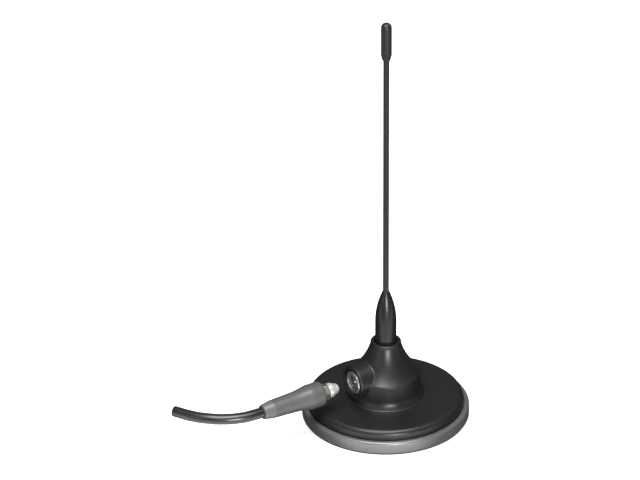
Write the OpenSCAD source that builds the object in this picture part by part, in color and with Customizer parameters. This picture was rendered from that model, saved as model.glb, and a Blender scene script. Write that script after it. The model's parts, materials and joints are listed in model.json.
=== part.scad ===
// Magnetic-foot whip antenna with a detachable coaxial lead.
// Millimetres, +Z up, origin at the middle of the underside, socket facing -X.

/* [Magnet foot] */
// Outer radius of the grey steel pot around the foot
pot_r = 38; // [38:0.5:41]
// Height of the pot's rim around the cover
pot_h = 6.3; // [6.1:0.1:6.5]
// Thickness of the soft pad under the foot
pad_t = 0.6; // [0.4:0.1:0.8]
// Outer radius of the ring magnet
magnet_r = 30.6; // [28:0.2:30.8]
// Radius of the hole through the ring magnet
magnet_hole_r = 13; // [12.6:0.2:16]

/* [Cover] */
// Outer radius of the black cover
cover_r = 35.4; // [35.2:0.1:35.7]
// Height of the cover's flat top
cover_h = 10.8; // [10.6:0.1:11.4]
// Rounding of the cover's upper edge
cover_edge = 3; // [1.5:0.5:3.5]
// Radius of the round hub
hub_r = 15.9; // [15.5:0.1:16.5]
// Height of the hub's upper edge
hub_h = 22.9; // [22.6:0.1:23.4]
// Radius of the hollow curve from the hub up to the neck
flare_r = 40; // [32:1:60]
// Radius of the neck's rim
neck_r = 7; // [6.8:0.1:7.6]
// Height of the neck's rim
neck_h = 38.6; // [38:0.1:40]

/* [Whip] */
// Height of the whole antenna
total_h = 203; // [120:1:320]
// Radius of the coated rod
rod_r = 1.35; // [1.2:0.05:1.5]
// Radius of the ferrule at the foot of the whip
ferrule_r = 4.85; // [4.6:0.05:5]
// Height where the ferrule has narrowed to the rod
ferrule_top = 64.2; // [60:0.2:75]
// Radius of the cap on the tip
cap_r = 2.45; // [2:0.05:3]
// Length of the cap on the tip
cap_len = 19; // [12:1:24]

/* [Socket] */
// Height of the socket's axis
socket_z = 21.7; // [21.5:0.1:22]
// Distance from the whip's axis to the socket's face
socket_d = 18.2; // [18:0.1:19]
// Outer radius of the boss around the socket
boss_r = 8; // [7.8:0.1:8.4]
// Outer radius of the socket's metal flange
flange_r = 5.5; // [5:0.1:5.7]
// Radius of the socket's bore
bore_r = 3.52; // [3.5:0.01:3.55]

/* [Plug and lead] */
// Distance from the socket's face to the nose of the plug when it is pulled out
plug_gap = 8.3; // [7:0.1:12]
// Radius of the plug's barrel
barrel_r = 3.45; // [3.4:0.01:3.46]
// Width of the plug's hexagon across its flats
hex_af = 7; // [7:0.1:8]
// Outer radius of the boot
boot_r = 5.8; // [5.4:0.1:6.4]
// Radius of the lead's jacket
cable_r = 2.475; // [2.4:0.005:2.475]

/* [Hidden] */
$fn = 96;
eps = 0.01;
slip = 0.02;          // clearance between pieces that are pressed or soldered together

// Foot: a pressed steel cup that opens downwards, with a step that centres the cover
sheet_t = 2.2;
pot_ledge = pot_h - 0.9;        // ledge inside the rim that the cover and its gasket sit on
step_r = 33.2;
plate_top = 8.2;
plate_under = plate_top - sheet_t;
pot_edge = 1.8;
parting_gap = 0.4;              // open groove between the cover and the rim
gasket_t = 0.4;

// Cover: one moulding of disc, hub, flare and boss
wall_t = 2;
cover_under = pot_ledge + gasket_t;
ceiling_z = cover_h - wall_t;
hub_edge = 0.6;
hub_ledge = 0.3;                // narrow flat ring between the hub's rounded edge and the flare
hub_fillet = 2.8;
rim_edge = 0.8;
neck_foot_z = neck_h - rim_edge;
cavity_r = 12.5;
cavity_shoulder_z = 21;
cavity_top_r = 8.5;
cavity_top_z = 28;
seat_r = ferrule_r + 0.4;       // recess in the neck that the ferrule stands in
seat_z = neck_h - 1.8;
washer_t = 1;

// Cover screws, self-tapping M3, driven from below inside the magnet's hole
screw_count = 3;
screw_ring_r = 9.4;
screw_r = 1.5;
screw_len = 8;
screw_head_r = 2.75;
screw_head_h = 1.9;
post_r = 3.4;
post_top = 16;

// Whip, on an M5 stud
stud_r = 2.45;
stud_foot = seat_z - 7.3;
stud_top = ferrule_bottom() + 9.2;
thread_bore_r = 2.5;
core_r = 1;
core_foot = stud_top - 6;
cap_foot = total_h - cap_len;
cap_lip_r = 1.75;
cap_taper_h = 2.6;
core_top = cap_foot + 15.3;
ogive_foot = ferrule_top - 15.7;
ogive_end_r = rod_r + 0.15;

// Bushing that carries the whip
bushing_r = 4;
bushing_foot = cavity_top_z - 1;
tail_r = 1.5;
tail_foot = 22.8;
tag_t = 0.5;
tag_r = 3.3;
tail_nut_af = 5.5;
tail_nut_h = 2.2;
tag_hole_x = -4.9;
wire_r = 0.5;

// Socket, measured along its own axis outwards from the whip's axis
flange_back = socket_d - 2;
flange_edge = 1.8;
seal_t = 0.9;
shank_r = 4.5;
shank_back = 6.5;
bore_back = socket_d - 5.8;
insulator_r = 2.2;
seat_back = 12.6;               // inner face of the boss wall
boss_room_r = 6.5;              // space inside the boss for washer, strap and nut
washer_back = seat_back - 0.5;
strap_back = washer_back - 0.4;
nut_back = strap_back - 3;
nut_af = 11;
socket_washer_r = 6.2;
strap_r = 6.1;
strap_w = 4.8;
strap_foot = 3.6;
pin_front_r = 0.75;
pin_front = socket_d - 1.2;
pin_back = 4.2;
pin_r = 0.6;
spring_front = socket_d - 1.7;
spring_back = spring_front - 1.2;
spring_groove_r = 4;

// Plug, on the same axis
nose = socket_d + plug_gap;
nose_r = 2.1;
taper_back = nose + 3.4;
groove_front = nose + 4.8;
hex_front = nose + 5.4;
hex_back = hex_front + 3.4;
hex_turn = 41;
plug_bore_r = 1.6;
contact_r = 1.15;
contact_bore_r = 0.8;
contact_front = nose + 0.8;
contact_back = nose + 7.5;
stem_r = 1.95;
stem_back = hex_back + 9;
collar_back = hex_back + 2.2;
collar_r = 3.2;
crimp_back = hex_back + 13.7;
boot_back = hex_back + 31.5;

// Layers of the lead
braid_r = 1.8;
dielectric_r = 1.475;
conductor_r = 0.45;
jacket_start = stem_back + 1.5;
cable_sides = 12;

// Centreline of the free lead as steps from the boot's mouth to the cut end
lead_steps = [
    [0, 0, 0], [-3, 0, 0], [-6, 0.2, 0], [-9, 0.7, -0.1], [-11.9, 1.6, -0.1],
    [-14.7, 2.8, -0.2], [-17.4, 4.3, -0.2], [-19.9, 6.1, -0.3], [-22.2, 8.1, -0.3], [-24.3, 10.3, -0.4],
    [-26.2, 12.7, -0.5], [-27.9, 15.3, -0.6], [-29.4, 18.1, -0.7], [-30.7, 21, -0.8], [-31.8, 23.9, -1],
];

function ferrule_bottom() = seat_z + washer_t;

// Centre of the circle of radius r through a and b, on the side away from the axis
function arc_centre(a, b, r) =
    let (d = b - a, len = norm(d), side = [d[1], -d[0]] / len)
    (a + b) / 2 + side * sqrt(r * r - len * len / 4);

// Unit direction of a path at point i
function heading(path, i) =
    let (d = path[min(i + 1, len(path) - 1)] - path[max(i - 1, 0)])
    d / norm(d);

// One ring of points around path point i, square to the path
function ring_points(path, i, r) =
    let (t = heading(path, i), flat = [-t[1], t[0], 0], side = flat / norm(flat), up = cross(t, side))
    [for (j = [0:cable_sides - 1])
        path[i] + r * (cos(j * 360 / cable_sides) * side + sin(j * 360 / cable_sides) * up)];

// Band of quads between two rings whose first points have the given numbers
function band(first, second) =
    [for (j = [0:cable_sides - 1])
        let (k = (j + 1) % cable_sides)
        [first + j, first + k, second + k, second + j]];

// A tube swept along a path, hollow when inner_r is more than 0
module swept_tube(path, outer_r, inner_r = 0) {
    last = len(path) - 1;
    n = cable_sides;
    outer = [for (i = [0:last]) each ring_points(path, i, outer_r)];
    inner = [for (i = [0:last]) each ring_points(path, i, inner_r)];
    skin = [for (i = [0:last - 1]) each band(i * n, (i + 1) * n)];
    if (inner_r == 0) {
        ends = [[for (j = [n - 1:-1:0]) j], [for (j = [0:n - 1]) last * n + j]];
        polyhedron(outer, concat(skin, ends));
    } else {
        far = (last + 1) * n;
        lining = [for (i = [0:last - 1]) each band(far + (i + 1) * n, far + i * n)];
        ends = concat(band(far, 0), band(last * n, far + last * n));
        polyhedron(concat(outer, inner), concat(skin, lining, ends));
    }
}

// Turns a piece drawn along +Z so that it lies along the socket's axis, with z as the distance outwards
module on_socket_axis() {
    translate([0, 0, socket_z]) rotate([0, -90, 0]) children();
}

module tube(outer_r, inner_r, from, to) {
    translate([0, 0, from]) difference() {
        cylinder(r = outer_r, h = to - from);
        translate([0, 0, -1]) cylinder(r = inner_r, h = to - from + 2);
    }
}

module rod(r, from, to) {
    translate([0, 0, from]) cylinder(r = r, h = to - from);
}

// A prism with six sides and the given width across its flats
module hex_rod(across, from, to) {
    translate([0, 0, from]) cylinder(r = across / sqrt(3), h = to - from, $fn = 6);
}

// Rectangle from the axis out to r, between two heights
module slab(r, from, to) {
    translate([0, from]) square([r, to - from]);
}

// The same rectangle with its outer upper corner rounded
module rounded_slab(r, from, to, edge) {
    slab(r - edge, from, to);
    slab(r, from, to - edge);
    translate([r - edge, to - edge]) intersection() {
        circle(r = edge);
        square(edge);
    }
}

module at_screws() {
    for (i = [0:screw_count - 1]) rotate([0, 0, i * 360 / screw_count])
        translate([screw_ring_r, 0, 0]) children();
}

module base_pot() {
    corner = [pot_r - pot_edge, pot_h - pot_edge];
    lip_r = cover_r + parting_gap;
    color([0.58, 0.58, 0.57]) difference() {
        rotate_extrude() {
            polygon([
                [pot_r - sheet_t, pad_t], [pot_r - 0.5, pad_t], [pot_r, pad_t + 0.5],
                [pot_r, corner[1]], corner, [corner[0], pot_h], [lip_r, pot_h], [lip_r, pot_ledge],
                [step_r, pot_ledge], [step_r, plate_top - 0.5], [step_r - 0.5, plate_top], [0, plate_top],
                [0, plate_under], [step_r - sheet_t, plate_under], [step_r - sheet_t, pot_ledge - sheet_t],
                [pot_r - sheet_t, pot_ledge - sheet_t],
            ]);
            translate(corner) intersection() {
                circle(r = pot_edge);
                square(pot_edge);
            }
        }
        at_screws() rod(screw_r + 0.2, plate_under - 1, plate_top + 1);
    }
}

module magnet_ring() {
    color([0.16, 0.16, 0.17]) tube(magnet_r, magnet_hole_r, pad_t, plate_under);
}

module bottom_pad() {
    color([0.08, 0.08, 0.08]) rod(pot_r - 0.6, 0, pad_t);
}

module pot_gasket() {
    color([0.05, 0.05, 0.05]) tube(cover_r - 0.4, step_r + 0.2, pot_ledge, cover_under);
}

module cover_screws() {
    slot = 0.6;
    color([0.75, 0.75, 0.72]) at_screws() difference() {
        union() {
            rod(screw_head_r, plate_under - screw_head_h, plate_under);
            rod(screw_r, plate_under - eps, plate_under + screw_len);
        }
        for (turn = [0, 90]) rotate([0, 0, turn])
            translate([-1.5, -slot / 2, plate_under - screw_head_h - 1]) cube([3, slot, 2]);
    }
}

// Outline of disc, hub, flare and neck
module cover_outline() {
    foot = [hub_r - hub_edge - hub_ledge, hub_h];
    neck = [neck_r, neck_foot_z];
    rounded_slab(cover_r, cover_under, cover_h, cover_edge);
    rounded_slab(hub_r, cover_h - 1, hub_h, hub_edge);
    difference() {
        slab(hub_r + hub_fillet, cover_h - 1, cover_h + hub_fillet);
        translate([hub_r + hub_fillet, cover_h + hub_fillet]) circle(r = hub_fillet);
    }
    difference() {
        slab(foot[0], hub_h - 1, neck_foot_z);
        translate(arc_centre(foot, neck, flare_r)) circle(r = flare_r, $fn = 360);
    }
    rounded_slab(neck_r, neck_foot_z - eps, neck_h, rim_edge);
}

module top_cover() {
    color([0.09, 0.09, 0.09]) difference() {
        union() {
            difference() {
                union() {
                    rotate_extrude() cover_outline();
                    on_socket_axis() rotate_extrude() rounded_slab(boss_r, 1, socket_d, 1);
                }
                rod(step_r + 0.2, 0, ceiling_z);
                rod(cavity_r, ceiling_z - 1, cavity_shoulder_z);
                translate([0, 0, cavity_shoulder_z - eps]) cylinder(
                    r1 = cavity_r, r2 = cavity_top_r, h = cavity_top_z - cavity_shoulder_z);
                on_socket_axis() rod(boss_room_r, 0, seat_back);
                on_socket_axis() rod(shank_r + 0.05, 0, socket_d);
                on_socket_axis() rod(flange_r + seal_t, flange_back, socket_d + 1);
                rod(bushing_r + slip, cavity_top_z - 1, neck_h);
                rod(seat_r, seat_z, neck_h + 1);
            }
            at_screws() rod(post_r, plate_top, post_top);
        }
        at_screws() rod(screw_r + slip, plate_top - 1, plate_under + screw_len + 0.5);
    }
}

module whip_bushing() {
    color([0.78, 0.62, 0.3]) difference() {
        union() {
            rod(bushing_r, bushing_foot, seat_z);
            rod(tail_r, tail_foot, bushing_foot + 1);
        }
        rod(thread_bore_r, stud_foot - 0.4, seat_z + 1);
    }
}

module bushing_nut() {
    color([0.78, 0.62, 0.3]) difference() {
        hex_rod(tail_nut_af, bushing_foot - tag_t - tail_nut_h, bushing_foot - tag_t);
        rod(tail_r + slip, 0, bushing_foot);
    }
}

module feed_tag() {
    color([0.8, 0.78, 0.7]) difference() {
        union() {
            rod(tag_r, bushing_foot - tag_t, bushing_foot);
            translate([tag_hole_x - 0.9, -1.2, bushing_foot - tag_t]) cube([4, 2.4, tag_t]);
        }
        rod(tail_r + slip, 0, bushing_foot + 1);
        translate([tag_hole_x, 0, 0]) rod(wire_r + slip, 0, bushing_foot + 1);
    }
}

module feed_wire() {
    color([0.8, 0.45, 0.25]) translate([tag_hole_x, 0, 0])
        rod(wire_r, socket_z - 0.8, bushing_foot + 0.4);
}

// Nickel-plated body of the socket, with a rounded flange and a threaded shank
module socket_body() {
    color([0.75, 0.74, 0.7]) on_socket_axis() difference() {
        rotate_extrude() {
            slab(shank_r, shank_back, flange_back + eps);
            rounded_slab(flange_r, flange_back, socket_d, flange_edge);
        }
        rod(bore_r, bore_back, socket_d + 1);
        translate([0, 0, socket_d - 0.5]) cylinder(r1 = bore_r, r2 = bore_r + 0.6, h = 0.6);
        rod(insulator_r + slip, shank_back - 1, bore_back + eps);
        rod(spring_groove_r, spring_back, spring_front);
    }
}

module socket_seal() {
    color([0.04, 0.04, 0.04]) on_socket_axis()
        tube(flange_r + seal_t - 2 * slip, flange_r + slip, flange_back, socket_d - 0.8);
}

// Split spring ring that grips the plug's barrel
module socket_spring() {
    color([0.8, 0.7, 0.4]) on_socket_axis() difference() {
        tube(spring_groove_r - slip, bore_r + 0.03, spring_back + slip, spring_front - slip);
        translate([0, -0.5, spring_back - 1]) cube([10, 1, 4]);
    }
}

module socket_insulator() {
    color([0.95, 0.95, 0.92]) on_socket_axis()
        tube(insulator_r, pin_r + slip, shank_back, bore_back);
}

module socket_pin() {
    tip = 0.35;
    color([0.85, 0.7, 0.35]) on_socket_axis() difference() {
        rotate_extrude() {
            slab(pin_r, pin_back, bore_back + eps);
            rounded_slab(pin_front_r, bore_back, pin_front, tip);
        }
        rotate([0, 90, 0]) translate([0, 0, -2]) translate([tag_hole_x, 0, 0])
            cylinder(r = wire_r + slip, h = 4);
    }
}

// Strip from under the socket's nut down to the steel pot
module ground_strap() {
    t = washer_back - strap_back;
    color([0.7, 0.7, 0.68]) difference() {
        union() {
            on_socket_axis() rod(strap_r, strap_back, washer_back);
            translate([-washer_back, -strap_w / 2, plate_top]) cube([t, strap_w, socket_z - plate_top - 5]);
            translate([-washer_back, -strap_w / 2, plate_top]) cube([strap_foot, strap_w, t]);
        }
        on_socket_axis() rod(shank_r + slip, strap_back - 1, washer_back + 1);
    }
}

module socket_washer() {
    color([0.75, 0.75, 0.72]) on_socket_axis() tube(socket_washer_r, shank_r + slip, washer_back, seat_back);
}

module socket_nut() {
    color([0.78, 0.62, 0.3]) on_socket_axis() difference() {
        rotate([0, 0, 30]) hex_rod(nut_af, nut_back, strap_back);
        rod(shank_r + slip, nut_back - 1, strap_back + 1);
    }
}

module whip_washer() {
    color([0.05, 0.05, 0.05]) tube(ferrule_r - 0.35, stud_r + 0.2, seat_z, ferrule_bottom());
}

module whip_ferrule() {
    run = ferrule_top - ogive_foot;
    drop = ferrule_r - ogive_end_r;
    ogive_r = (run * run + drop * drop) / (2 * drop);
    color([0.1, 0.1, 0.1]) difference() {
        rotate_extrude() {
            slab(ferrule_r, ferrule_bottom(), ogive_foot);
            intersection() {
                slab(ferrule_r, ogive_foot - eps, ferrule_top);
                translate([ferrule_r - ogive_r, ogive_foot]) circle(r = ogive_r, $fn = 360);
            }
        }
        rod(stud_r + slip, 0, stud_top);
        rod(rod_r + slip, 0, total_h);
    }
}

module whip_stud() {
    color([0.78, 0.62, 0.3]) difference() {
        rod(stud_r, stud_foot, stud_top);
        rod(core_r + slip, core_foot, stud_top + 1);
    }
}

module whip_rod() {
    color([0.6, 0.6, 0.6]) rod(core_r, core_foot, core_top);
}

module rod_sleeve() {
    color([0.1, 0.1, 0.1]) tube(rod_r, core_r + slip, stud_top, core_top);
}

module tip_cap() {
    color([0.1, 0.1, 0.1]) difference() {
        rotate_extrude() {
            polygon([[0, cap_foot], [cap_lip_r, cap_foot], [cap_r, cap_foot + cap_taper_h],
                [cap_r, total_h - cap_r], [0, total_h - cap_r]]);
            translate([0, total_h - cap_r]) intersection() {
                circle(r = cap_r);
                square(cap_r);
            }
        }
        rod(rod_r + slip, cap_foot - 1, core_top + slip);
    }
}

// Turned shell of the plug: hollow tapered nose, barrel, groove, hexagon, collar and crimp stem
module plug_shell() {
    color([0.8, 0.8, 0.78]) on_socket_axis() difference() {
        union() {
            rotate_extrude() polygon([
                [0, nose], [nose_r - 0.3, nose], [nose_r, nose + 0.3],
                [barrel_r, taper_back], [barrel_r, groove_front], [barrel_r - 0.5, groove_front],
                [barrel_r - 0.5, hex_front + eps], [0, hex_front + eps],
            ]);
            rotate([0, 0, hex_turn]) hex_rod(hex_af, hex_front, hex_back);
            rod(collar_r, hex_back - eps, collar_back);
            rod(stem_r, collar_back - eps, stem_back);
        }
        rod(plug_bore_r, nose - 1, contact_back + 0.6);
        rod(dielectric_r + slip, nose, stem_back + 1);
    }
}

module plug_insulator() {
    color([0.95, 0.95, 0.92]) on_socket_axis()
        tube(plug_bore_r - slip, contact_r + slip, contact_front - 0.4, contact_back);
}

module plug_contact() {
    color([0.85, 0.7, 0.35]) on_socket_axis() difference() {
        rod(contact_r, contact_front, contact_back);
        rod(contact_bore_r, contact_front - 1, contact_front + 4.4);
        rod(conductor_r + slip, contact_back - 1.8, contact_back + 1);
    }
}

module crimp_sleeve() {
    color([0.75, 0.75, 0.72]) on_socket_axis() difference() {
        union() {
            rod(2.5, collar_back, stem_back);
            rod(3, stem_back - eps, crimp_back);
        }
        rod(stem_r + slip, 0, stem_back + eps);
        rod(cable_r + slip, stem_back, crimp_back + 1);
    }
}

// Soft tapered boot: grip, shoulder, long taper and steeper mouth
module plug_boot() {
    color([0.5, 0.5, 0.5]) on_socket_axis() difference() {
        rotate_extrude() polygon([
            [0, hex_back], [boot_r - 0.7, hex_back], [boot_r - 0.2, hex_back + 0.3],
            [boot_r, hex_back + 1], [boot_r, hex_back + 6.5], [boot_r - 0.3, hex_back + 8],
            [boot_r - 0.8, hex_back + 11.5], [boot_r - 1.1, hex_back + 14.5], [boot_r - 1.6, hex_back + 26.5],
            [boot_r - 2.3, boot_back - 0.5], [boot_r - 2.6, boot_back], [0, boot_back],
        ]);
        rod(collar_r + slip, hex_back - 1, crimp_back + 0.3);
        rod(cable_r + slip, hex_back, boot_back + 1);
    }
}

// The lead's layers share one route, with a straight start inside the plug
function lead_from(start) =
    concat([[-start, 0, socket_z]], [for (s = lead_steps) s + [-boot_back, 0, socket_z]]);

module cable_jacket() {
    color([0.1, 0.1, 0.1]) swept_tube(lead_from(jacket_start), cable_r, braid_r + slip);
}

module cable_braid() {
    color([0.7, 0.7, 0.68]) swept_tube(lead_from(stem_back + 0.2), braid_r, dielectric_r + slip);
}

module cable_dielectric() {
    color([0.95, 0.95, 0.92]) swept_tube(lead_from(contact_back + 0.7), dielectric_r, conductor_r + slip);
}

module cable_conductor() {
    color([0.8, 0.45, 0.25]) swept_tube(lead_from(contact_back - 1.6), conductor_r);
}

base_pot();
magnet_ring();
bottom_pad();
pot_gasket();
cover_screws();
top_cover();
whip_bushing();
bushing_nut();
feed_tag();
feed_wire();
socket_body();
socket_seal();
socket_spring();
socket_insulator();
socket_pin();
ground_strap();
socket_washer();
socket_nut();
whip_washer();
whip_ferrule();
whip_stud();
whip_rod();
rod_sleeve();
tip_cap();
plug_shell();
plug_insulator();
plug_contact();
crimp_sleeve();
plug_boot();
cable_jacket();
cable_braid();
cable_dielectric();
cable_conductor();
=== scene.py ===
import json
import math

import bpy
import numpy as np
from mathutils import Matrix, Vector


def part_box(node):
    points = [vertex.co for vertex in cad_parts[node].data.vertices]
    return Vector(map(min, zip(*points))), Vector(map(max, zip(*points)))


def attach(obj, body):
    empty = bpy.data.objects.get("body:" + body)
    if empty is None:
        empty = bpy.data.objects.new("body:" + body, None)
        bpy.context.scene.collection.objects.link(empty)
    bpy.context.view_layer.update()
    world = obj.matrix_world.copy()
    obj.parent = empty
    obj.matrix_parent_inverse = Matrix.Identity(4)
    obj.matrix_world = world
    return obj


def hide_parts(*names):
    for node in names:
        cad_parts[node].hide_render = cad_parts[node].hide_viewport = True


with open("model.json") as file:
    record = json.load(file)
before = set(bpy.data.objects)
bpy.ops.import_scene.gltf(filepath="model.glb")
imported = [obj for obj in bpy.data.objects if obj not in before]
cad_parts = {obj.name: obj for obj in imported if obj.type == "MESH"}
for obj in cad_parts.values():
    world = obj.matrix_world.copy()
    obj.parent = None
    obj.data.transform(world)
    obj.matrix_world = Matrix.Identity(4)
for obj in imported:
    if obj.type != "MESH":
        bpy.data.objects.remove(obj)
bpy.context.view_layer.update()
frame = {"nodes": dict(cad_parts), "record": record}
nodes = frame["nodes"]
slotOfNode = {entry["node"]: entry["material_slot"] for entry in frame["record"]["subparts"]}
mm = 0.001                              # every size below is in millimetres
print("frame loaded with", len(nodes), "nodes")


def boxMm(node):                        # lowest and highest corner of a node, in millimetres
    low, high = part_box(node)
    return low / mm, high / mm


# ---- node tools


def addNode(tree, kind, settings=None, **inputs):   # a node with its settings, values and links in one go
    node = tree.nodes.new(kind)
    for key, value in (settings or {}).items():
        setattr(node, key, value)
    for key, value in inputs.items():
        numbered = key[0] == "i" and key[1:].isdigit()
        socket = node.inputs[int(key[1:]) if numbered else key.replace("_", " ")]
        if isinstance(value, bpy.types.NodeSocket):
            tree.links.new(value, socket)
        else:
            socket.default_value = value
    return node


def scaled(tree, value, factor):
    return addNode(tree, "ShaderNodeMath", {"operation": "MULTIPLY"}, i0=value, i1=factor).outputs[0]


def smoothRange(tree, value, start, end, first=0.0, last=1.0):      # eases from first to last
    node = addNode(tree, "ShaderNodeMapRange", {"interpolation_type": "SMOOTHSTEP"}, Value=value,
                   From_Min=start, From_Max=end, To_Min=first, To_Max=last)
    return node.outputs[0]


def grey(shade):
    return (shade,) * 3 + (1,)


# ---- camera, room and lights

cameraSetup = {
    "azimuth": 33.0,                    # degrees round from the front towards the socket side
    "elevation": 29.7,
    "distance": 8090.0,
    "lens": 1000.0,
    "sensor": 36,
    "clip": (500, 40000),
    "aimRight": -29.85,                 # aim point, counted from the middle of the foot
    "aimUp": 78.83,
}


def directionTo(azimuth, elevation):    # unit vector from the object towards a viewer
    a, e = math.radians(azimuth), math.radians(elevation)
    return Vector((-math.sin(a) * math.cos(e), -math.cos(a) * math.cos(e), math.sin(e)))


def makeCamera(values):
    turn = math.radians(values["azimuth"])
    back = directionTo(values["azimuth"], values["elevation"])
    right = Vector((math.cos(turn), -math.sin(turn), 0))
    up = back.cross(right)
    camera = bpy.data.objects.new("camera", bpy.data.cameras.new("camera"))
    bpy.context.scene.collection.objects.link(camera)
    camera.data.lens = values["lens"]
    camera.data.sensor_width = values["sensor"]
    camera.data.clip_start, camera.data.clip_end = (distance * mm for distance in values["clip"])
    aim = right * values["aimRight"] * mm + up * values["aimUp"] * mm
    camera.location = aim + back * values["distance"] * mm
    camera.rotation_mode = "QUATERNION"
    camera.rotation_quaternion = (-back).to_track_quat("-Z", "Y")
    bpy.context.scene.camera = camera


makeCamera(cameraSetup)
bpy.context.scene.view_settings.view_transform = "Standard"

lightTarget = 40                        # height that the lights point at
softboxes = {                           # azimuth is counted like the camera's
    "overhead": {"azimuth": 30, "elevation": 77, "distance": 1000, "size": (800, 520), "power": 10.0},
    "keyAbove": {"azimuth": 50, "elevation": 60, "distance": 1000, "size": (420, 360), "power": 3.6},
    "lowFront": {"azimuth": 20, "elevation": 5, "distance": 1000, "size": (200, 260), "power": 6.5},
    "leftFront": {"azimuth": 78, "elevation": 12, "distance": 1000, "size": (300, 260), "power": 0.6},
}


def makeSoftbox(name, values):
    light = bpy.data.objects.new(name, bpy.data.lights.new(name, "AREA"))
    bpy.context.scene.collection.objects.link(light)
    light.data.shape = "RECTANGLE"
    light.data.size, light.data.size_y = (side * mm for side in values["size"])
    light.data.energy = values["power"]
    away = directionTo(values["azimuth"], values["elevation"])
    light.location = Vector((0, 0, lightTarget * mm)) + away * values["distance"] * mm
    light.rotation_mode = "QUATERNION"
    light.rotation_quaternion = away.to_track_quat("Z", "Y")
    light.visible_camera = False


for lightName, lightValues in softboxes.items():
    makeSoftbox(lightName, lightValues)

roomLook = {
    "seen": 1.0,                        # backdrop as the camera sees it
    "horizon": 0.015,                   # what the object mirrors and is lit by
    "overhead": 0.12,
    "blend": (0.2, 0.5),                # where the overhead shade starts and is full
}


def makeRoom(values):
    world = bpy.data.worlds.new("room")
    bpy.context.scene.world = world
    world.use_nodes = True
    tree = world.node_tree
    tree.nodes.clear()
    where = addNode(tree, "ShaderNodeTexCoord")
    split = addNode(tree, "ShaderNodeSeparateXYZ", i0=where.outputs["Generated"])
    ramp = addNode(tree, "ShaderNodeValToRGB", Fac=split.outputs["Z"])
    shades = (values["horizon"], values["overhead"])
    for stop, place, shade in zip(ramp.color_ramp.elements, values["blend"], shades):
        stop.position = place
        stop.color = grey(shade)
    lit = addNode(tree, "ShaderNodeBackground", Color=ramp.outputs["Color"])
    seen = addNode(tree, "ShaderNodeBackground", Color=grey(values["seen"]))
    path = addNode(tree, "ShaderNodeLightPath")
    mix = addNode(tree, "ShaderNodeMixShader", Fac=path.outputs["Is Camera Ray"], i1=lit.outputs[0],
                  i2=seen.outputs[0])
    addNode(tree, "ShaderNodeOutputWorld", Surface=mix.outputs[0])


makeRoom(roomLook)

floorLook = {
    "side": 8000, "drop": 0.02,
    "seen": 0.9, "glow": 0.62, "roughness": 0.9,
    "bounce": 0.3,                      # what it throws back onto the object
    "mirrored": 2.2,                    # its brightest part in the object's gloss
    "pool": (28, 50, 66, 100),          # where that part starts, is full, fades and ends, going forward
    "near": 0.03, "far": 0.16,          # what is left of it on either side
}


def makeFloor(values):
    half = values["side"] / 2 * mm
    corners = [(-half, -half, 0), (half, -half, 0), (half, half, 0), (-half, half, 0)]
    mesh = bpy.data.meshes.new("floor")
    mesh.from_pydata(corners, [], [(0, 1, 2, 3)])
    floor = bpy.data.objects.new("floor", mesh)
    bpy.context.scene.collection.objects.link(floor)
    floor.location.z = -values["drop"] * mm
    material = bpy.data.materials.new("studioFloor")
    material.use_nodes = True
    tree = material.node_tree
    tree.nodes.clear()
    seen = addNode(tree, "ShaderNodeBsdfPrincipled", Base_Color=grey(values["seen"]),
                   Roughness=values["roughness"], Specular_IOR_Level=0.0, Emission_Color=grey(1),
                   Emission_Strength=values["glow"])
    bounce = addNode(tree, "ShaderNodeBsdfDiffuse", Color=grey(values["bounce"]))
    where = addNode(tree, "ShaderNodeTexCoord")
    forward = addNode(tree, "ShaderNodeVectorMath", {"operation": "DOT_PRODUCT"}, i0=where.outputs["Object"],
                      i1=directionTo(cameraSetup["azimuth"], 0)).outputs["Value"]
    start, full, fade, end = (distance * mm for distance in values["pool"])
    rise = smoothRange(tree, forward, start, full, values["near"] * values["mirrored"], values["mirrored"])
    fall = smoothRange(tree, forward, fade, end, 1.0, values["far"])
    mirrored = addNode(tree, "ShaderNodeEmission", Strength=scaled(tree, rise, fall))
    path = addNode(tree, "ShaderNodeLightPath")
    unseen = addNode(tree, "ShaderNodeMixShader", Fac=path.outputs["Is Glossy Ray"], i1=bounce.outputs[0],
                     i2=mirrored.outputs[0])
    mix = addNode(tree, "ShaderNodeMixShader", Fac=path.outputs["Is Camera Ray"], i1=unseen.outputs[0],
                  i2=seen.outputs[0])
    addNode(tree, "ShaderNodeOutputMaterial", Surface=mix.outputs[0])
    mesh.materials.append(material)


makeFloor(floorLook)
print("camera, lights and floor are ready")

# ---- shader groups shared by the finishes

grainLook = {"pits": 0.35, "mottle": (0.3, 0.7)}
turningLook = {"broader": 0.13}
edgeLook = {"corner": (0.995, 0.93)}    # lean of the rounded normal where rubbing starts and is full
handlingLook = {"smudge": (0.42, 0.68), "speck": (0.12, 0.03)}


def startGroup(name, inputs, outputs):
    group = bpy.data.node_groups.new(name, "ShaderNodeTree")
    for label, value in inputs:
        kind = "NodeSocketVector" if isinstance(value, tuple) else "NodeSocketFloat"
        group.interface.new_socket(name=label, in_out="INPUT", socket_type=kind).default_value = value
    for label in outputs:
        group.interface.new_socket(name=label, in_out="OUTPUT", socket_type="NodeSocketFloat")
    return group, group.nodes.new("NodeGroupInput"), group.nodes.new("NodeGroupOutput")


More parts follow.
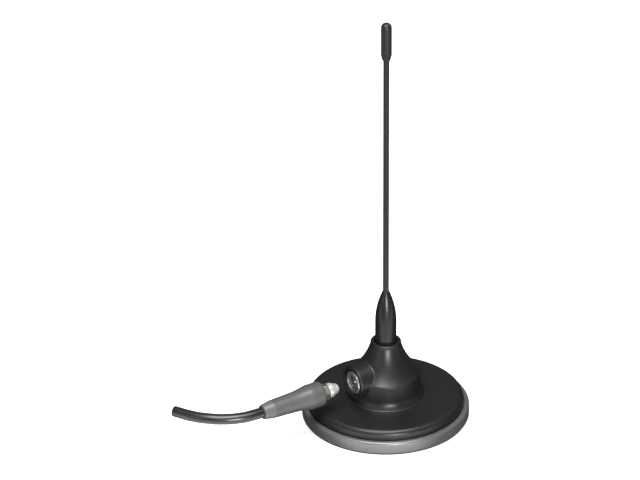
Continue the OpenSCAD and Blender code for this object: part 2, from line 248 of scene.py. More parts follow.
def makeGrainGroup(values):             # fine moulded or sprayed surface, with a broad mottle
    inputs = [("Scale", 900.0), ("Mottle Scale", 60.0)]
    group, given, result = startGroup("surfaceGrain", inputs, ["Height", "Mottle"])
    where = addNode(group, "ShaderNodeTexCoord").outputs["Object"]
    fine = addNode(group, "ShaderNodeTexNoise", Vector=where, Scale=given.outputs["Scale"], Detail=3.0,
                   Roughness=0.55)
    pits = addNode(group, "ShaderNodeTexVoronoi", Vector=where, Scale=given.outputs["Scale"])
    both = addNode(group, "ShaderNodeMath", {"operation": "MULTIPLY_ADD"}, i0=pits.outputs["Distance"],
                   i1=values["pits"], i2=fine.outputs[0])
    broad = addNode(group, "ShaderNodeTexNoise", Vector=where, Scale=given.outputs["Mottle Scale"],
                    Detail=4.0, Roughness=0.6)
    group.links.new(both.outputs[0], result.inputs["Height"])
    group.links.new(smoothRange(group, broad.outputs[0], *values["mottle"]), result.inputs["Mottle"])
    return group


def makeTurningGroup(values):           # fine rings left by turning, along a given axis
    inputs = [("Axis", (1.0, 0.0, 0.0)), ("Pitch", 9000.0)]
    group, given, result = startGroup("turningRings", inputs, ["Height", "Shade"])
    where = addNode(group, "ShaderNodeTexCoord").outputs["Object"]
    along = addNode(group, "ShaderNodeVectorMath", {"operation": "DOT_PRODUCT"}, i0=where,
                    i1=given.outputs["Axis"]).outputs["Value"]
    fine = addNode(group, "ShaderNodeTexNoise", {"noise_dimensions": "1D"}, W=along,
                   Scale=given.outputs["Pitch"], Detail=2.0)
    broad = addNode(group, "ShaderNodeTexNoise", {"noise_dimensions": "1D"}, W=along,
                    Scale=scaled(group, given.outputs["Pitch"], values["broader"]), Detail=1.0)
    group.links.new(fine.outputs[0], result.inputs["Height"])
    group.links.new(broad.outputs[0], result.inputs["Shade"])
    return group


def makeEdgeGroup(values):              # where corners are rubbed, broken up by a fine noise
    inputs = [("Radius", 0.0004), ("Breakup", 700.0)]
    group, given, result = startGroup("rubbedEdges", inputs, ["Mask"])
    real = addNode(group, "ShaderNodeNewGeometry")
    soft = addNode(group, "ShaderNodeBevel", {"samples": 4}, Radius=given.outputs["Radius"])
    match = addNode(group, "ShaderNodeVectorMath", {"operation": "DOT_PRODUCT"}, i0=real.outputs["Normal"],
                    i1=soft.outputs[0])
    where = addNode(group, "ShaderNodeTexCoord").outputs["Object"]
    patch = addNode(group, "ShaderNodeTexNoise", Vector=where, Scale=given.outputs["Breakup"], Detail=3.0)
    edge = smoothRange(group, match.outputs["Value"], *values["corner"])
    group.links.new(scaled(group, edge, patch.outputs[0]), result.inputs["Mask"])
    return group


def makeHandlingGroup(values):          # faint smudges and dust that change the gloss
    inputs = [("Scale", 45.0), ("Speck Scale", 2600.0)]
    group, given, result = startGroup("handlingMarks", inputs, ["Smudge", "Specks"])
    where = addNode(group, "ShaderNodeTexCoord").outputs["Object"]
    smear = addNode(group, "ShaderNodeTexNoise", Vector=where, Scale=given.outputs["Scale"], Detail=5.0,
                    Roughness=0.65, Distortion=0.8)
    dots = addNode(group, "ShaderNodeTexVoronoi", Vector=where, Scale=given.outputs["Speck Scale"])
    smudge = smoothRange(group, smear.outputs[0], *values["smudge"])
    specks = smoothRange(group, dots.outputs["Distance"], *values["speck"])
    group.links.new(smudge, result.inputs["Smudge"])
    group.links.new(specks, result.inputs["Specks"])
    return group


grainGroup = makeGrainGroup(grainLook)
turningGroup = makeTurningGroup(turningLook)
edgeGroup = makeEdgeGroup(edgeLook)
handlingGroup = makeHandlingGroup(handlingLook)


def placeGroup(tree, group, **inputs):
    node = tree.nodes.new("ShaderNodeGroup")
    node.node_tree = group
    for key, value in inputs.items():
        node.inputs[key.replace("_", " ")].default_value = value
    return node


def mixColours(tree, mask, first, second):
    mix = tree.nodes.new("ShaderNodeMix")
    mix.data_type = "RGBA"
    tree.links.new(mask, mix.inputs["Factor"])
    for socket, value in ((mix.inputs[6], first), (mix.inputs[7], second)):
        if isinstance(value, bpy.types.NodeSocket):
            tree.links.new(value, socket)
        else:
            socket.default_value = tuple(value) + (1,)
    return mix.outputs[2]


def makeFinish(name, values):
    material = bpy.data.materials.new(name)
    material.use_nodes = True
    tree = material.node_tree
    shader = tree.nodes["Principled BSDF"]
    shader.inputs["Metallic"].default_value = values.get("metallic", 0.0)
    shader.inputs["IOR"].default_value = 1.5
    shader.inputs["Specular IOR Level"].default_value = values.get("gloss", 0.5)
    grain = placeGroup(tree, grainGroup, Scale=values["grain"], Mottle_Scale=values.get("mottle", 60.0))
    marks = placeGroup(tree, handlingGroup)
    colour = mixColours(tree, grain.outputs["Mottle"], values["colour"], values["colour2"])
    height = grain.outputs["Height"]
    if "axis" in values:
        rings = placeGroup(tree, turningGroup, Axis=values["axis"], Pitch=values["pitch"])
        colour = mixColours(tree, rings.outputs["Shade"], colour, values.get("ringColour", values["colour"]))
        height = addNode(tree, "ShaderNodeMath", {"operation": "MULTIPLY_ADD"}, i0=rings.outputs["Height"],
                         i1=values.get("ringShare", 2.0), i2=height).outputs[0]
    if "worn" in values:
        edges = placeGroup(tree, edgeGroup)
        rubbed = scaled(tree, edges.outputs["Mask"], values["wear"])
        colour = mixColours(tree, rubbed, colour, values["worn"])
    if "specks" in values:
        dusty = scaled(tree, marks.outputs["Specks"], values["specks"])
        colour = mixColours(tree, dusty, colour, values.get("speckColour", (0.35, 0.34, 0.32)))
    rough = addNode(tree, "ShaderNodeMapRange", Value=marks.outputs["Smudge"], To_Min=values["roughness"],
                    To_Max=values["roughness"] + values.get("roughSpread", 0.06))
    bump = addNode(tree, "ShaderNodeBump", Height=height, Strength=values["bump"],
                   Distance=values.get("depth", 0.02) * mm)
    tree.links.new(colour, shader.inputs["Base Color"])
    tree.links.new(rough.outputs[0], shader.inputs["Roughness"])
    tree.links.new(bump.outputs[0], shader.inputs["Normal"])
    return material


alongPlug = (1.0, 0.0, 0.0)             # axis of the rings left by turning, on socket and plug
alongWhip = (0.0, 0.0, 1.0)
finishes = {
    "pot_paint": {"colour": (0.22, 0.22, 0.216), "colour2": (0.19, 0.19, 0.187), "metallic": 0.5,
                  "roughness": 0.33, "grain": 1300, "mottle": 90, "bump": 0.35, "depth": 0.03,
                  "worn": (0.5, 0.5, 0.49), "wear": 0.5, "specks": 0.1},
    "cover_plastic": {"colour": (0.0125, 0.0125, 0.0128), "colour2": (0.0155, 0.0155, 0.0158),
                      "roughness": 0.36, "grain": 2200, "mottle": 70, "bump": 0.22, "depth": 0.012,
                      "worn": (0.05, 0.05, 0.05), "wear": 0.4, "specks": 0.12,
                      "speckColour": (0.1, 0.1, 0.1)},
    "black_coating": {"colour": (0.009, 0.009, 0.0093), "colour2": (0.012, 0.012, 0.0124),
                      "roughness": 0.3, "grain": 2600, "bump": 0.2, "depth": 0.01,
                      "worn": (0.07, 0.065, 0.06), "wear": 0.35},
    "sleeve_black": {"colour": (0.016, 0.016, 0.0165), "colour2": (0.02, 0.02, 0.0205), "roughness": 0.38,
                     "grain": 2400, "bump": 0.22, "depth": 0.012},
    "cap_black": {"colour": (0.014, 0.014, 0.0145), "colour2": (0.018, 0.018, 0.0183), "roughness": 0.42,
                  "grain": 2400, "bump": 0.25, "depth": 0.012},
    "nickel": {"colour": (0.7, 0.695, 0.62), "colour2": (0.62, 0.615, 0.54), "metallic": 0.95,
               "roughness": 0.3, "grain": 3000, "bump": 0.1, "depth": 0.006, "axis": alongPlug,
               "pitch": 7000, "ringColour": (0.78, 0.77, 0.72), "ringShare": 1.6},
    "ptfe": {"colour": (0.78, 0.78, 0.75), "colour2": (0.72, 0.72, 0.69), "roughness": 0.4,
             "grain": 2500, "bump": 0.12},
    "gold_contact": {"colour": (0.75, 0.71, 0.6), "colour2": (0.68, 0.63, 0.52), "metallic": 1.0,
                     "roughness": 0.22, "grain": 3200, "bump": 0.08, "axis": alongPlug, "pitch": 9000},
    "spring_bronze": {"colour": (0.6, 0.61, 0.5), "colour2": (0.52, 0.53, 0.42), "metallic": 1.0,
                      "roughness": 0.3, "grain": 2600, "bump": 0.15},
    "pad_rubber": {"colour": (0.012, 0.012, 0.012), "colour2": (0.018, 0.018, 0.0175), "roughness": 0.62,
                   "grain": 1500, "bump": 0.4, "depth": 0.03, "specks": 0.2,
                   "speckColour": (0.12, 0.12, 0.11)},
    "boot_grey": {"colour": (0.098, 0.098, 0.0965), "colour2": (0.118, 0.118, 0.116), "roughness": 0.34,
                  "gloss": 0.6, "grain": 2000, "mottle": 110, "bump": 0.3, "depth": 0.018,
                  "worn": (0.32, 0.32, 0.31), "wear": 0.3, "specks": 0.08},
    "jacket_pvc": {"colour": (0.014, 0.014, 0.0145), "colour2": (0.018, 0.018, 0.0182), "roughness": 0.31,
                   "gloss": 0.8, "grain": 1900, "bump": 0.2, "depth": 0.014},
    "foam_white": {"colour": (0.82, 0.82, 0.79), "colour2": (0.76, 0.76, 0.73), "roughness": 0.5,
                   "grain": 3500, "bump": 0.3},
    "copper": {"colour": (0.8, 0.42, 0.26), "colour2": (0.68, 0.34, 0.2), "metallic": 1.0,
               "roughness": 0.3, "grain": 3000, "bump": 0.1},
    "turned_brass": {"colour": (0.74, 0.55, 0.24), "colour2": (0.66, 0.48, 0.2), "metallic": 1.0,
                     "roughness": 0.3, "grain": 2600, "bump": 0.12, "axis": alongWhip, "pitch": 8000},
    "zinc_steel": {"colour": (0.58, 0.58, 0.56), "colour2": (0.5, 0.5, 0.48), "metallic": 1.0,
                   "roughness": 0.34, "grain": 2400, "bump": 0.15},
    "tinned": {"colour": (0.64, 0.63, 0.6), "colour2": (0.55, 0.54, 0.51), "metallic": 1.0,
               "roughness": 0.38, "grain": 2200, "bump": 0.2},
    "stainless": {"colour": (0.55, 0.55, 0.54), "colour2": (0.5, 0.5, 0.49), "metallic": 1.0,
                  "roughness": 0.3, "grain": 2600, "bump": 0.12, "axis": alongWhip, "pitch": 5000},
    "ferrite": {"colour": (0.05, 0.05, 0.052), "colour2": (0.07, 0.07, 0.07), "roughness": 0.7,
                "grain": 1400, "bump": 0.4, "depth": 0.03},
}
materials = {slot: makeFinish(slot.replace("_", "."), values) for slot, values in finishes.items()}
# a paler, less metallic copy of the nickel for the plug's nose and barrel: its extra brightness is a painted
# reflection
noseFinishPaintedSheen = dict(finishes["nickel"], colour=(0.93, 0.925, 0.9), colour2=(0.88, 0.875, 0.84), metallic=0.55,
                  roughness=0.24, ringColour=(0.86, 0.855, 0.82))
bandFinish = dict(finishes["boot_grey"], colour=(0.135, 0.135, 0.133), colour2=(0.16, 0.16, 0.157))
materials["plugNose"] = makeFinish("nickel.nose.painted.sheen", noseFinishPaintedSheen)
materials["bootBand"] = makeFinish("boot.band", bandFinish)

braidLook = {
    "bright": (0.7, 0.69, 0.66), "gap": (0.12, 0.12, 0.12), "roughness": 0.36,
    "strands": 5200.0, "turns": (0.9, -0.9), "lean": 0.3, "depth": 0.05,
}


def makeBraidFinish(values):            # two sets of fine wires that cross
    material = bpy.data.materials.new("wovenBraid")
    material.use_nodes = True
    tree = material.node_tree
    shader = tree.nodes["Principled BSDF"]
    shader.inputs["Metallic"].default_value = 1.0
    shader.inputs["Roughness"].default_value = values["roughness"]
    where = addNode(tree, "ShaderNodeTexCoord").outputs["Object"]
    heights = []
    for turn in values["turns"]:
        lean = addNode(tree, "ShaderNodeMapping", Vector=where, Rotation=(turn, values["lean"], turn))
        wave = addNode(tree, "ShaderNodeTexWave", Vector=lean.outputs[0],
                       Scale=values["strands"] / (2 * math.pi), Distortion=0.4)
        heights.append(wave.outputs["Fac"])
    top = addNode(tree, "ShaderNodeMath", {"operation": "MAXIMUM"}, i0=heights[0], i1=heights[1]).outputs[0]
    tree.links.new(mixColours(tree, top, values["gap"], values["bright"]), shader.inputs["Base Color"])
    bump = addNode(tree, "ShaderNodeBump", Height=top, Strength=0.6, Distance=values["depth"] * mm)
    tree.links.new(bump.outputs[0], shader.inputs["Normal"])
    return material


materials["braid_tinned"] = makeBraidFinish(braidLook)
print("finishes are ready:", len(materials))

# ---- mesh tools


def softOutline(corners, steps=6):      # corners are (radius, height, rounding)
    points = []
    for i, (r, z, rounding) in enumerate(corners):
        here = np.array((r, z), float)
        if i in (0, len(corners) - 1) or rounding <= 0:
            points.append(here)
            continue
        before, after = np.array(corners[i - 1][:2]) - here, np.array(corners[i + 1][:2]) - here
        lengthBefore, lengthAfter = np.linalg.norm(before), np.linalg.norm(after)
        u, v = before / lengthBefore, after / lengthAfter
        turn = math.pi - math.acos(float(np.clip(u @ v, -1, 1)))
        if turn < 0.02:                 # next to straight
            points.append(here)
            continue
        cut = min(rounding * math.tan(turn / 2), 0.49 * lengthBefore, 0.49 * lengthAfter)
        radius = cut / math.tan(turn / 2)
        centre = here + (u + v) / np.linalg.norm(u + v) * radius / math.cos(turn / 2)
        first, last = here + u * cut - centre, here + v * cut - centre
        sweep = math.atan2(first[0] * last[1] - first[1] * last[0], first @ last)
        start = math.atan2(first[1], first[0])
        for k in range(steps + 1):
            angle = start + sweep * k / steps
            points.append(centre + radius * np.array((math.cos(angle), math.sin(angle))))
    return np.array(points)


def splitLong(outline, longest):        # extra points, so that no step is longer than the given one
    points = [outline[0]]
    for a, b in zip(outline[:-1], outline[1:]):
        count = max(1, math.ceil(np.linalg.norm(b - a) / longest))
        points += [a + (b - a) * k / count for k in range(1, count + 1)]
    return np.array(points)


def roundAxis(outline, count, limit=None, turn=0.0):    # rings of points about z, and their faces
    points, rings, faces = [], [], []
    for r, z in outline:
        if r < 1e-6:
            rings.append([len(points)])
            points.append((0, 0, z))
            continue
        ring = []
        for k in range(count):
            angle = turn + 2 * math.pi * k / count
            reach = r if limit is None else min(r, limit(angle))
            ring.append(len(points))
            points.append((reach * math.cos(angle), reach * math.sin(angle), z))
        rings.append(ring)
    for a, b in zip(rings[:-1], rings[1:]):
        for k in range(count):
            n = (k + 1) % count
            if len(a) == 1:
                faces.append((a[0], b[n], b[k]))
            elif len(b) == 1:
                faces.append((a[k], a[n], b[0]))
            else:
                faces.append((a[k], a[n], b[n], b[k]))
    return points, faces


def ringFaces(count, sides, first=0):   # faces between rings of points that follow each other
    faces = []
    for i in range(count - 1):
        row, following = first + i * sides, first + (i + 1) * sides
        for j in range(sides):
            n = (j + 1) % sides
            faces.append((row + j, row + n, following + n, following + j))
    return faces


socketHeight = (boxMm("plug_boot")[0].z + boxMm("plug_boot")[1].z) / 2


def alongSocket(points):                # turns points drawn along z so that they lie along the socket's axis
    return [(-z, y, socketHeight + x) for x, y, z in points]


def socketSpan(node):                   # a node's back and front along the socket's axis, and its radius
    low, high = boxMm(node)
    return -high.x, -low.x, high.y


def makePiece(name, points, faces, body, node, sharp=32.0):
    mesh = bpy.data.meshes.new(name)
    mesh.from_pydata([tuple(c * mm for c in p) for p in points], [], faces)
    mesh.validate()
    piece = bpy.data.objects.new(name, mesh)
    bpy.context.scene.collection.objects.link(piece)
    mesh.shade_smooth()
    mesh.set_sharp_from_angle(angle=math.radians(sharp))
    mesh.materials.append(materials[slotOfNode[node]])
    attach(piece, body)
    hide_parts(node)
    return piece


def turnedPiece(name, outline, count, body, node, socketAxis=False, **more):
    points, faces = roundAxis(outline, count)
    return makePiece(name, alongSocket(points) if socketAxis else points, faces, body, node, **more)


# ---- the lead: a short length of coaxial cable with a cut end

leadShape = {
    "jacket": 2.475, "braid": 1.8, "insulation": 1.475, "core": 0.45,
    "gap": 0.02,                        # between one layer and the next
    "gapDepth": 2.0,
    "inside": 3.0,                      # how far the lead is drawn into the boot
    "sides": 40,
    "steps": [
        (0, 0, 0), (-3, 0, 0), (-6, 0.2, 0), (-9, 0.7, -0.1), (-11.9, 1.6, -0.1),
        (-14.7, 2.8, -0.2), (-17.4, 4.3, -0.2), (-19.9, 6.1, -0.3), (-22.2, 8.1, -0.3), (-24.3, 10.3, -0.4),
        (-26.2, 12.7, -0.5), (-27.9, 15.3, -0.6), (-29.4, 18.1, -0.7), (-30.7, 21, -0.8), (-31.8, 23.9, -1),
    ],
}
leadLayers = {                          # node, size, size of the next layer in, cut edge as (inwards, back)
    "cableJacket": ("cable_jacket", "jacket", "braid", [(0, 0.12), (0.04, 0.03), (0.12, 0)]),
    "cableBraid": ("cable_braid", "braid", "insulation", [(0, 0)]),
    "cableInsulation": ("cable_dielectric", "insulation", "core", [(0, 0.05), (0.05, 0)]),
    "cableCore": ("cable_conductor", "core", None, [(0, 0.03), (0.03, 0)]),
}
mouth = np.array((boxMm("plug_boot")[0].x, 0, socketHeight))


def smoothPath(points, between):        # a curve through every point
    padded = [2 * points[0] - points[1]] + list(points) + [2 * points[-1] - points[-2]]
    path = []
    for a, b, c, d in zip(padded[:-3], padded[1:-2], padded[2:-1], padded[3:]):
        for k in range(between):
            t = k / between
            path.append(0.5 * (2 * b + (c - a) * t + (2 * a - 5 * b + 4 * c - d) * t ** 2
                               + (3 * b - a - 3 * c + d) * t ** 3))
    return np.array(path + [points[-1]])


def sweptTube(path, cutEnd, sides, closed):     # cutEnd has the end's rings, as (radius, back from the end)
    rings = [(path[0], path[1] - path[0], cutEnd[0][0])]
    for i in range(1, len(path) - 1):
        rings.append((path[i], path[i + 1] - path[i - 1], cutEnd[0][0]))
    endWay = (path[-1] - path[-2]) / np.linalg.norm(path[-1] - path[-2])
    for radius, back in cutEnd:
        rings.append((path[-1] - endWay * back, endWay, radius))
    points = []
    for centre, way, radius in rings:
        t = way / np.linalg.norm(way)
        side = np.cross((0, 0, 1), t)
        side /= np.linalg.norm(side)
        up = np.cross(t, side)
        for j in range(sides):
            angle = 2 * math.pi * j / sides
            points.append(tuple(centre + radius * (math.cos(angle) * side + math.sin(angle) * up)))
    faces = ringFaces(len(rings), sides)
    if closed:
        faces.append(tuple(range((len(rings) - 1) * sides, len(rings) * sides)))
    return points, faces


def makeLead(values):
    stations = [mouth + np.array(step, float) for step in values["steps"]]
    stations.insert(0, stations[0] + np.array((values["inside"], 0, 0)))
    between = 4
    path = smoothPath(stations, between)
    for name, (node, size, inner, edge) in leadLayers.items():
        cutEnd = [(values[size] - inwards, back) for inwards, back in edge]
        if inner:
            hole = values[inner] + values["gap"]
            cutEnd += [(hole, 0.0), (hole, values["gapDepth"])]
        points, faces = sweptTube(path, cutEnd, values["sides"], closed=inner is None)
        makePiece(name, points, faces, "plug", node)


# ---- the foot

footShape = {
    "wall": 2.2, "bevel": 0.45, "edge": 1.8, "rim": 6.3, "groove": 0.4,
    "step": 33.2, "plateTop": 8.2, "plateInner": 20,
    "padRings": (12, 30),
}


def makeFoot(values):
    low, high = boxMm("base_pot")
    outer, bevel, rim = high.x, values["bevel"], values["rim"]
    groove = boxMm("top_cover")[1].x + values["groove"]
    ledge = boxMm("pot_gasket")[0].z    # what the cover stands on, inside the rim
    outline = softOutline([(outer - values["wall"], low.z, 0), (outer - bevel, low.z, 0.15),
                           (outer, low.z + bevel, 0.25), (outer, rim, values["edge"]), (groove, rim, 0.15),
                           (groove, ledge, 0.05), (values["step"], ledge, 0.1),
                           (values["step"], values["plateTop"], 0.5),
                           (values["plateInner"], values["plateTop"], 0)], 10)
    turnedPiece("footRing", outline, 256, "base", "base_pot")
    low, high = boxMm("bottom_pad")
    pad = [(0, low.z, 0)] + [(r, low.z, 0) for r in values["padRings"]]
    pad += [(high.x, low.z, 0.2), (high.x, high.z, 0)]
    turnedPiece("footPad", softOutline(pad, 3), 192, "base", "bottom_pad")


# ---- the cover: disc, hub, flare and socket boss

coverShape = {
    "under": 33.4, "underDepth": 2.5,
    "discTop": 10.8, "discEdge": 3.0,
    "toeWidth": 1.5, "toeRounding": 0.8, "footHeight": 2.4, "footRounding": 5.0,
    "hub": 15.9, "hubTop": 22.4, "hubEdge": 0.8,
    "flare": 32.0, "neck": 7.0, "neckEdge": 1.4,
    "recess": 5.25, "recessFloor": 36.8, "bore": 4.03, "boreFoot": 28.0,
    "boss": 8.0, "bossEdge": 1.0, "bossStart": 2.2,
    "bossMouth": 6.4, "bossFloor": 16.2, "bossHole": 4.56,
    "margin": 0.9,                      # the hub's wall is cut away this far inside the boss
    "blend": 0.7, "blendSteps": 8,      # the ball that rounds the corner between boss and hub
    "tuck": 0.3,                        # how far the blend's edge goes under the hub's surface
    "sides": 256, "bossSides": 192,
}


def flareArc(foot, neck, radius, count):
    foot, neck = np.array(foot), np.array(neck)
    chord = neck - foot
    length = np.linalg.norm(chord)
    side = np.array((chord[1], -chord[0])) / length
    centre = (foot + neck) / 2 + side * math.sqrt(radius ** 2 - length ** 2 / 4)
    first, last = foot - centre, neck - centre
    start = math.atan2(first[1], first[0])
    sweep = math.atan2(first[0] * last[1] - first[1] * last[0], first @ last)
    angles = [start + sweep * k / count for k in range(count + 1)]
    return [tuple(centre + radius * np.array((math.cos(a), math.sin(a)))) for a in angles]


def coverOutline(values):
    low, high = boxMm("top_cover")
    under, disc, hub, neck = values["under"], values["discTop"], values["hub"], values["neck"]
    neckFoot = (neck, high.z - values["neckEdge"])
    flare = flareArc((hub, values["hubTop"]), neckFoot, values["flare"], 20)
    corners = [(under, low.z + values["underDepth"], 0), (under, low.z, 0), (high.x, low.z, 0.25),
               (high.x, disc, values["discEdge"]), (hub + values["toeWidth"], disc, values["toeRounding"]),
               (hub, disc + values["footHeight"], values["footRounding"]),
               (hub, values["hubTop"], values["hubEdge"])]
    corners += [(r, z, 0) for r, z in flare[1:-1]]
    corners += [(*neckFoot, 0.4), (neck, high.z, values["neckEdge"]), (values["recess"], high.z, 0.25),
                (values["recess"], values["recessFloor"], 0), (values["bore"], values["recessFloor"], 0),
                (values["bore"], values["boreFoot"], 0)]
    return splitLong(softOutline(corners, 10), longest=0.6)


def nearestOn(outline, point):          # gap from a point to the turned outline, and the nearest place
    flat = np.array((math.hypot(point[0], point[1]), point[2]))
    a, b = outline[:-1], outline[1:]
    t = np.clip(((flat - a) * (b - a)).sum(1) / np.maximum(((b - a) ** 2).sum(1), 1e-12), 0, 1)
    near = a + (b - a) * t[:, None]
    gaps = np.linalg.norm(flat - near, axis=1)
    return gaps.min(), near[gaps.argmin()]


def ballStop(outline, start, ball, farthest, nearest=3.0, stride=0.4):  # how far out a ball rests on the hub
    def isClear(distance):
        return nearestOn(outline, start + np.array((-distance, 0, 0)))[0] > ball

    inner = farthest
    while inner > nearest and isClear(inner):
        inner -= stride
    outer = inner + stride
    for _ in range(24):                 # halving
        middle = (inner + outer) / 2
        if isClear(middle):
            outer = middle
        else:
            inner = middle
    return middle


def bossRings(values, outside):
    boss, ball, steps = values["boss"], values["blend"], values["blendSteps"]
    face = socketSpan("socket_body")[1]
    bossFace = softOutline([(values["bossHole"], values["bossFloor"], 0),
                            (values["bossMouth"], values["bossFloor"], 0), (values["bossMouth"], face, 0.15),
                            (boss, face, values["bossEdge"]), (boss, face - values["bossStart"], 0)], 8)
    centre = np.array((0, 0, socketHeight))
    columns = []
    for k in range(values["bossSides"]):
        angle = 2 * math.pi * k / values["bossSides"]
        spoke = np.array((0, math.sin(angle), math.cos(angle)))
        start = centre + spoke * (boss + ball)
        stop = np.array((-ballStop(outside, start, ball, face - 0.5), 0, 0))
        middle = start + stop
        touch = nearestOn(outside, middle)[1]
        across = math.hypot(middle[0], middle[1])
        onBody = np.array((middle[0] / across * touch[0], middle[1] / across * touch[0], touch[1]))
        first, last = -spoke, (onBody - middle) / np.linalg.norm(onBody - middle)
        between = math.acos(float(np.clip(first @ last, -1, 1)))
        column = [centre + spoke * r + np.array((-z, 0, 0)) for r, z in bossFace]
        contact = centre + spoke * boss + stop
        column.append(column[-1] + (contact - column[-1]) * 0.5)
        for j in range(steps + 1):
            t = j / steps
            way = math.sin((1 - t) * between) * first + math.sin(t * between) * last
            column.append(middle + ball * way / max(math.sin(between), 1e-6))
        column.append(onBody + (onBody - middle) / ball * values["tuck"])
        columns.append(column)
    return list(zip(*columns))


def makeCover(values):
    outline = coverOutline(values)
    points, faces = roundAxis(outline, values["sides"])
    points = np.array(points)
    reach = np.hypot(points[:, 1], points[:, 2] - socketHeight)
    inBoss = (reach < values["boss"] - values["margin"]) & (points[:, 0] < -values["recess"])
    faces = [f for f in faces if not all(inBoss[list(f)])]
    rings = bossRings(values, outline[outline[:, 0] > values["recess"] + 0.25])
    faces += ringFaces(len(rings), values["bossSides"], len(points))
    allPoints = list(map(tuple, points)) + [tuple(p) for ring in rings for p in ring]
    makePiece("coverMoulding", allPoints, faces, "base", "top_cover", sharp=40)


# ---- socket

socketShape = {
    "flange": 2.0, "edge": 1.8, "shank": 4.5, "shankBack": 7.0,
    "bore": 3.52, "mouth": 0.15, "groove": 4.0, "floor": 12.4,
    "insulation": 2.22, "insulationBack": 11.0, "sealHole": 5.53,
    "pin": 0.75, "pinTip": 0.42, "pinTaper": 0.6, "pinStem": 0.6, "pinHole": 0.63,
}


def makeSocket(values):
    bore, groove, shank, floor = values["bore"], values["groove"], values["shank"], values["floor"]
    face, flange = socketSpan("socket_body")[1:]
    springBack, springFront, _ = socketSpan("socket_spring")
    outline = softOutline([(values["insulation"], values["insulationBack"], 0),
                           (values["insulation"], floor, 0.05), (bore, floor, 0.1), (bore, springBack, 0.05),
                           (groove, springBack, 0), (groove, springFront, 0), (bore, springFront, 0.05),
                           (bore, face - values["mouth"], 0.15), (bore + values["mouth"], face, 0.1),
                           (flange, face, values["edge"]), (flange, face - values["flange"], 0.1),
                           (shank, face - values["flange"], 0), (shank, values["shankBack"], 0)], 9)
    turnedPiece("socketShell", outline, 128, "base", "socket_body", socketAxis=True)
    back, front, radius = socketSpan("socket_seal")
    hole = values["sealHole"]
    seal = softOutline([(hole, back, 0), (radius, back, 0), (radius, front, 0.25), (hole, front, 0.25),
                        (hole, back, 0)], 5)
    turnedPiece("socketSeal", seal, 96, "base", "socket_seal", socketAxis=True)
    back, front, radius = socketSpan("socket_insulator")
    hole = values["pinHole"]
    disc = softOutline([(hole, front - 1, 0), (hole, front, 0.08), (radius, front, 0.12),
                        (radius, back, 0)], 4)
    turnedPiece("socketInsulator", disc, 64, "base", "socket_insulator", socketAxis=True)
    back, front, _ = socketSpan("socket_pin")
    pin, stem = values["pin"], values["pinStem"]
    rod = softOutline([(0, front, 0), (values["pinTip"], front, 0.12),
                       (pin, front - values["pinTaper"], 0.2), (pin, floor, 0.05), (stem, floor, 0),
                       (stem, back, 0.1), (0, back, 0)], 5)
    turnedPiece("socketPin", rod, 48, "base", "socket_pin", socketAxis=True)


# ---- whip

whipShape = {
    "hole": 2.5, "foot": 0.35, "footHeight": 4.0, "ogiveFoot": 48.5, "ogiveSteps": 28, "tip": 1.5,
    "rod": 1.35, "overlap": 3.0, "capOverlap": 2.0, "capLip": 1.75, "capTaper": 2.6,
}


def makeWhip(values):
    low, high = boxMm("whip_ferrule")
    rod, foot, steps = values["rod"], values["ogiveFoot"], values["ogiveSteps"]
    run, drop = high.z - foot, high.x - values["tip"]
    big = (run ** 2 + drop ** 2) / (2 * drop)
    ogive = [(high.x - big + math.sqrt(big ** 2 - (run * k / steps) ** 2), foot + run * k / steps)
             for k in range(steps + 1)]
    corners = [(values["hole"], low.z, 0), (high.x, low.z, values["foot"]),
               (high.x, low.z + values["footHeight"], 0)]
    corners += [(r, z, 0) for r, z in ogive[:-1]] + [(*ogive[-1], 0.12), (rod - 0.1, high.z, 0)]
    turnedPiece("whipFerrule", softOutline(corners, 5), 128, "whip", "whip_ferrule")
    capLow, capHigh = boxMm("tip_cap")
    sleeve = np.array([(rod, high.z - values["overlap"]), (rod, capLow.z + values["capOverlap"])])
    turnedPiece("rodSleeve", splitLong(sleeve, longest=12), 64, "whip", "rod_sleeve")
    r = capHigh.x
    cap = softOutline([(rod - 0.1, capLow.z, 0), (values["capLip"], capLow.z, 0.15),
                       (r, capLow.z + values["capTaper"], 1.2), (r, capHigh.z - r, 0)], 6)
    dome = [(r * math.cos(a), capHigh.z - r + r * math.sin(a)) for a in np.linspace(0.08, math.pi / 2, 14)]
    dome[-1] = (0, capHigh.z)
    turnedPiece("tipCap", np.vstack([cap, dome]), 96, "whip", "tip_cap")


# ---- plug and boot

plugShape = {
    "bore": 1.6, "boreDepth": 5.0, "noseTip": 2.1, "taper": 3.4, "barrel": 3.45,
    "groove": (4.8, 5.4), "grooveDepth": 0.5,
    "hexFlats": 7.0, "hexLength": 3.4, "hexTurn": 41.0, "hexChamfer": 0.28, "collar": 3.2,
    "sides": 120,
}
bootShape = {"radius": 5.8, "hole": 3.25, "length": 31.5, "mouth": 2.5, "band": 26.6}


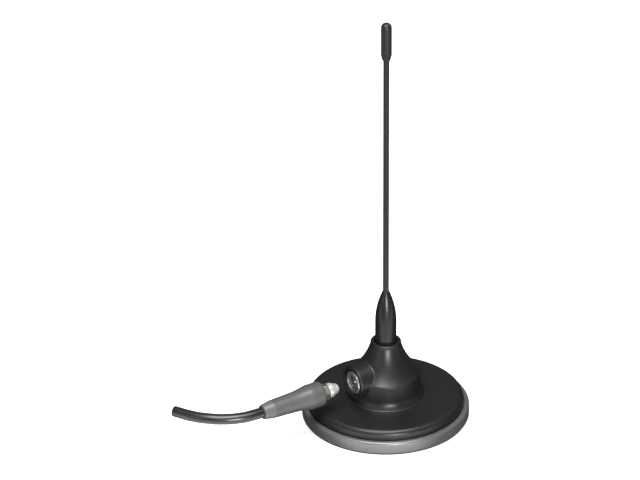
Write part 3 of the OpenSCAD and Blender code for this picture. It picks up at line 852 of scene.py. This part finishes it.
def makePlug(values):
    bore, barrel = values["bore"], values["barrel"]
    neck = barrel - values["grooveDepth"]
    nose = socketSpan("plug_shell")[0]
    groove, hexFront = (nose + distance for distance in values["groove"])
    hexBack = hexFront + values["hexLength"]
    front = softOutline([(bore, nose + values["boreDepth"], 0), (bore, nose, 0.12),
                         (values["noseTip"], nose, 0.3), (barrel, nose + values["taper"], 0.5),
                         (barrel, groove, 0.12), (neck, groove, 0.05), (neck, hexFront, 0)], 6)
    points, faces = roundAxis(front, values["sides"])
    flat = values["hexFlats"] / 2
    turn = math.radians(values["hexTurn"])

    def hexReach(angle):
        off = (angle - turn) % (math.pi / 3) - math.pi / 6
        return flat / math.cos(off)

    rim, corner = flat - 0.05, flat / math.cos(math.pi / 6) - 0.05
    cut = values["hexChamfer"]
    prism = softOutline([(neck, hexFront, 0), (rim, hexFront, 0.05), (corner, hexFront + cut, 0.1),
                         (corner, hexBack - cut, 0.1), (rim, hexBack, 0.05),
                         (values["collar"], hexBack, 0), (values["collar"], hexBack + 2, 0)], 4)
    hexPoints, hexFaces = roundAxis(prism, values["sides"], hexReach, turn)
    base = len(points)
    points += hexPoints
    faces += [tuple(base + i for i in f) for f in hexFaces]
    shell = makePiece("plugShell", alongSocket(points), faces, "plug", "plug_shell", sharp=28)
    shell.data.materials.append(materials["plugNose"])      # the nose and barrel get the paler copy, a painted reflection
    for face in shell.data.polygons:
        if min(face.vertices) < base:
            face.material_index = 1


def makeBoot(values):
    start = socketSpan("plug_boot")[0]
    end = start + values["length"]
    r, hole, mouthRadius = values["radius"], values["hole"], values["mouth"]
    shape = softOutline([(hole, start + 1.5, 0), (hole, start, 0.1), (r - 0.35, start, 0.5),
                         (r, start + 1, 0.8), (r, start + 6.5, 4), (r - 0.8, start + 11.5, 5),
                         (r - 1.1, start + 14.5, 10), (r - 1.6, start + 26.5, 0.15),
                         (r - 2.35, end - 0.4, 0.3), (r - 2.65, end, 0.15),
                         (mouthRadius, end, 0.1), (mouthRadius, end - 3, 0)], 8)
    boot = turnedPiece("plugBoot", splitLong(shape, longest=1.5), 128, "plug", "plug_boot", socketAxis=True,
                       sharp=26)
    boot.data.materials.append(materials["bootBand"])       # the last band before the lead is paler
    for face in boot.data.polygons:
        if face.center.x < -(start + values["band"]) * mm:
            face.material_index = 1


makeFoot(footShape)
makeCover(coverShape)
print("foot and cover are made")
makeSocket(socketShape)
makeWhip(whipShape)
makePlug(plugShape)
makeBoot(bootShape)
makeLead(leadShape)
print("socket, whip, plug and lead are made")

for node, cadObject in nodes.items():   # the pieces inside keep their solids and get their finishes
    cadObject.data.materials.clear()
    cadObject.data.materials.append(materials[slotOfNode[node]])
